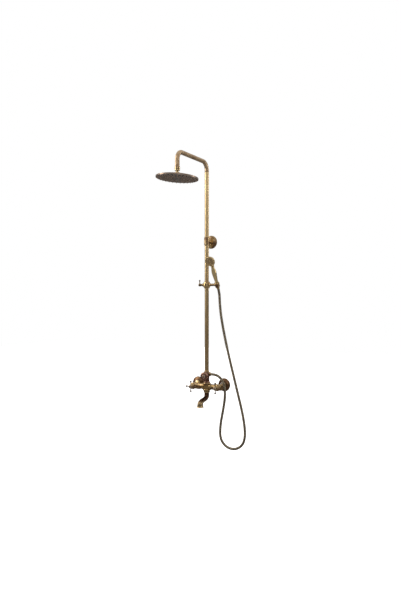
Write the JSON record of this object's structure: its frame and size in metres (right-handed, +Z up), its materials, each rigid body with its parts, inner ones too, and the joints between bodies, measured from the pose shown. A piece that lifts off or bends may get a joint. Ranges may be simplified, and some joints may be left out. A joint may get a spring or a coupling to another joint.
{
  "type": "rainfall shower column",
  "caption": "Wall-fed shower column: cross-handle mixer with diverter and swivel spout, riser with overhead rain head, sliding hand shower on a metal hose.",
  "frame": {"origin": "on the wall surface, midway between the two water inlets", "axes": "+X to the right along the wall, +Y into the wall, +Z up along the riser"},
  "size_m": [0.3266, 0.4427, 1.442],
  "materials": {
    "aged_brass": "antique brass, brushed and lacquered, with darker patina in its recesses",
    "dark_bronze": "dark bronze patina",
    "hose_metal": "spiral-wound metal hose, antique gunmetal",
    "raw_brass": "machined brass",
    "steel": "stainless steel",
    "white_plastic": "moulded acetal",
    "dark_rubber": "matt black rubber"
  },
  "bodies": {
    "root": {"wall_unions": "raw_brass", "wall_flanges": "aged_brass", "inlet_seals": "dark_rubber", "union_nuts": "aged_brass", "mixer_body": "aged_brass", "valve_cartridges": "white_plastic", "valve_bonnets": "aged_brass", "diverter_housing": "aged_brass", "diverter_cartridge": "white_plastic", "diverter_bonnet": "aged_brass", "hose_nut": "aged_brass", "hose": "hose_metal", "riser_spigot": "raw_brass", "riser_oring": "dark_rubber", "riser_collar": "aged_brass", "riser_pipe": "aged_brass", "arm_coupler": "raw_brass", "arm_pipe": "aged_brass", "arm_nut": "aged_brass", "bracket_plate": "steel", "bracket_arm": "aged_brass", "bracket_flange": "aged_brass", "bracket_sleeve": "aged_brass", "bracket_grub": "steel", "spout_nut": "aged_brass"},
    "hot_handle": {"hot_spindle": "raw_brass", "hot_hub": "aged_brass", "hot_spokes": "aged_brass", "hot_screw": "steel", "hot_cap": "dark_bronze"},
    "cold_handle": {"cold_spindle": "raw_brass", "cold_hub": "aged_brass", "cold_spokes": "aged_brass", "cold_screw": "steel", "cold_cap": "dark_bronze"},
    "diverter": {"diverter_spindle": "raw_brass", "diverter_knob": "aged_brass", "diverter_screw": "steel", "diverter_cap": "dark_bronze"},
    "spout": {"spout": "aged_brass", "aerator_housing": "aged_brass", "aerator_screen": "white_plastic"},
    "swivel": {"swivel_ball": "raw_brass"},
    "rain_head": {"ball_seat": "dark_rubber", "head_nut": "aged_brass", "head_shell": "dark_bronze", "head_plate": "dark_bronze", "head_mat": "dark_rubber"},
    "slider": {"slider_body": "aged_brass", "slider_bushing": "white_plastic", "slider_bar": "aged_brass"},
    "lock": {"lock_screw": "raw_brass", "lock_lever": "aged_brass"},
    "holder": {"holder_cup": "aged_brass"},
    "hand_shower": {"handset_nut": "aged_brass", "handset_handle": "aged_brass", "handset_head": "aged_brass", "handset_face": "aged_brass", "handset_mat": "dark_rubber"}
  },
  "joints": [
    {"name": "hot_turn", "type": "hinge", "parent": "root", "child": "hot_handle", "pos_m": [-0.07, -0.088, -0.008], "axis": [0, -1, 0], "range_deg": [0, 90]},
    {"name": "cold_turn", "type": "hinge", "parent": "root", "child": "cold_handle", "pos_m": [0.07, -0.088, -0.008], "axis": [0, -1, 0], "range_deg": [0, 90]},
    {"name": "diverter_turn", "type": "hinge", "parent": "root", "child": "diverter", "pos_m": [0, -0.074, 0.045], "axis": [0, -1, 0], "range_deg": [-90, 90]},
    {"name": "spout_swivel", "type": "hinge", "parent": "root", "child": "spout", "pos_m": [0, -0.048, -0.03], "axis": [0, 0, 1], "range_deg": [-75, 75]},
    {"name": "head_turn", "type": "hinge", "parent": "root", "child": "swivel", "pos_m": [0, -0.326, 1.013], "axis": [0, 0, 1], "continuous": true},
    {"name": "head_tilt", "type": "hinge", "parent": "swivel", "child": "rain_head", "pos_m": [0, -0.326, 1.013], "axis": [0.5, -0.866, 0], "range_deg": [-11, 19]},
    {"name": "slider_slide", "type": "slide", "parent": "root", "child": "slider", "axis": [0, 0, 1], "range_m": [-0.2, 0.15], "deforming": ["hose"]},
    {"name": "lock_turn", "type": "hinge", "parent": "slider", "child": "lock", "pos_m": [-0.041, -0.048, 0.504], "axis": [1, 0, 0], "range_deg": [-10, 90]},
    {"name": "holder_tilt", "type": "hinge", "parent": "slider", "child": "holder", "pos_m": [0.047, -0.048, 0.504], "axis": [1, 0, 0], "range_deg": [-20, 20]},
    {"name": "handset_turn", "type": "hinge", "parent": "holder", "child": "hand_shower", "pos_m": [0.06, -0.048, 0.504], "axis": [0, -0.4848, 0.8746], "range_deg": [-60, 60]}
  ]
}
